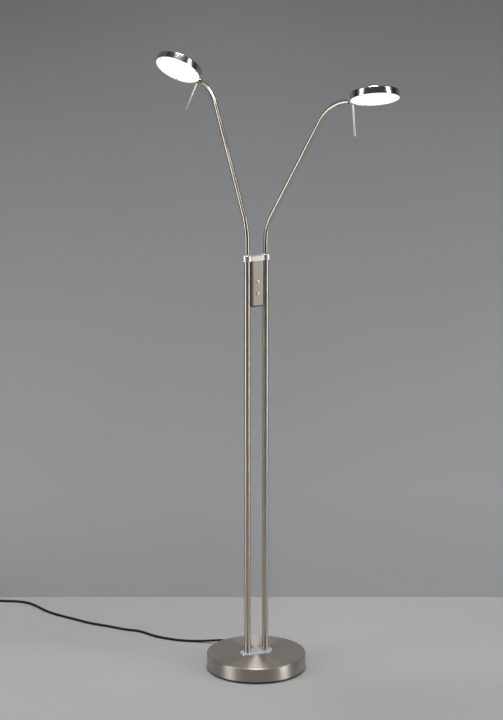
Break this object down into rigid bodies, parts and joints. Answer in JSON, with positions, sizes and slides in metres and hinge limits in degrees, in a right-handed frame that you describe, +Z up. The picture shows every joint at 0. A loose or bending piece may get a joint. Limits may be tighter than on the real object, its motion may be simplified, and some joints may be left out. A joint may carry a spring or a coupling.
{
  "type": "floor lamp",
  "caption": "Floor lamp with twin poles on a round base, a pair of bent swivelling arms and flat disc-shaped reading heads with aiming rods.",
  "frame": {"origin": "on the floor, at the middle of the round base's foot pad", "axes": "+Z up along the poles; +X from the left pole to the right pole, as seen from the side of the push buttons; the buttons face -Y"},
  "size_m": [0.8096, 1.1548, 1.5442],
  "materials": {
    "satin_nickel": "satin brushed",
    "head_metal": "satin",
    "chrome": "mirror",
    "cast_iron": "rough painted",
    "zinc_steel": "zinc plated",
    "black_plastic": "fine matt",
    "grey_nylon": "satin",
    "foam": "matt",
    "cord_rubber": "satin",
    "circuit_board": "satin",
    "led_board": "satin",
    "spreader": "plain",
    "opal": "frosted"
  },
  "bodies": {
    "stand": {"arm_bush_left": "grey_nylon", "arm_bush_right": "grey_nylon", "arm_stops": "black_plastic", "base_bottom_plate": "zinc_steel", "base_cover": "satin_nickel", "base_screws": "zinc_steel", "base_weight": "cast_iron", "box_screws": "zinc_steel", "bridge": "chrome", "bridge_set_screws": "zinc_steel", "cord_coil": "cord_rubber", "cord_gland": "black_plastic", "cord_run": "cord_rubber", "foot_pad": "foam", "plug_body": "black_plastic", "plug_pins": "zinc_steel", "pole_left": "satin_nickel", "pole_nuts": "zinc_steel", "pole_plate": "chrome", "pole_plugs": "zinc_steel", "pole_right": "satin_nickel", "pole_studs": "zinc_steel", "pole_washers": "zinc_steel", "power_supply": "black_plastic", "push_switches": "black_plastic", "rear_cover_screws": "zinc_steel", "switch_board": "circuit_board", "switch_box_cap": "black_plastic", "switch_box_housing": "satin_nickel", "switch_box_rear_cover": "black_plastic"},
    "arm_left": {"arm_left": "satin_nickel"},
    "arm_right": {"arm_right": "satin_nickel"},
    "seat_left": {"ball_seat_left": "grey_nylon"},
    "seat_right": {"ball_seat_right": "grey_nylon"},
    "head_left": {"head_ball_left": "head_metal", "handle_rod_left": "head_metal", "neck_nut_left": "zinc_steel", "head_shell_left": "head_metal", "heat_spreader_left": "spreader", "led_board_left": "led_board", "led_screws_left": "zinc_steel", "diffuser_left": "opal", "diffuser_screws_left": "zinc_steel"},
    "head_right": {"head_ball_right": "head_metal", "handle_rod_right": "head_metal", "neck_nut_right": "zinc_steel", "head_shell_right": "head_metal", "heat_spreader_right": "spreader", "led_board_right": "led_board", "led_screws_right": "zinc_steel", "diffuser_right": "opal", "diffuser_screws_right": "zinc_steel"},
    "button_upper": {"button_upper": "chrome"},
    "button_lower": {"button_lower": "chrome"}
  },
  "joints": [
    {"name": "arm_left_swivel", "type": "hinge", "parent": "stand", "child": "arm_left", "pos_m": [-0.025, 0, 1.066], "axis": [0, 0, 1], "range_deg": [-60, 159]},
    {"name": "head_left_roll", "type": "hinge", "parent": "arm_left", "child": "seat_left", "pos_m": [-0.02865, 0.26122, 1.46358], "axis": [-0.0138, 0.9902, 0.1392], "range_deg": [-90, 90]},
    {"name": "head_left_swing", "type": "hinge", "parent": "seat_left", "child": "head_left", "pos_m": [-0.02865, 0.26122, 1.46358], "axis": [0.557, -0.108, 0.8235], "range_deg": [-100, 4]},
    {"name": "arm_right_swivel", "type": "hinge", "parent": "stand", "child": "arm_right", "pos_m": [0.025, 0, 1.066], "axis": [0, 0, 1], "range_deg": [-80, 120]},
    {"name": "head_right_roll", "type": "hinge", "parent": "arm_right", "child": "seat_right", "pos_m": [0.13042, -0.23903, 1.46358], "axis": [0.3996, -0.9061, 0.1392], "range_deg": [-90, 90]},
    {"name": "head_right_swing", "type": "hinge", "parent": "seat_right", "child": "head_right", "pos_m": [0.13042, -0.23903, 1.46358], "axis": [-0.7986, -0.2696, 0.5381], "range_deg": [-35, 75]},
    {"name": "button_upper_press", "type": "slide", "parent": "stand", "child": "button_upper", "axis": [0, 1, 0], "range_m": [0, 0.0012], "stiffness_N_per_m": 800, "springref_m": -0.0008},
    {"name": "button_lower_press", "type": "slide", "parent": "stand", "child": "button_lower", "axis": [0, 1, 0], "range_m": [0, 0.0012], "stiffness_N_per_m": 800, "springref_m": -0.0008}
  ]
}
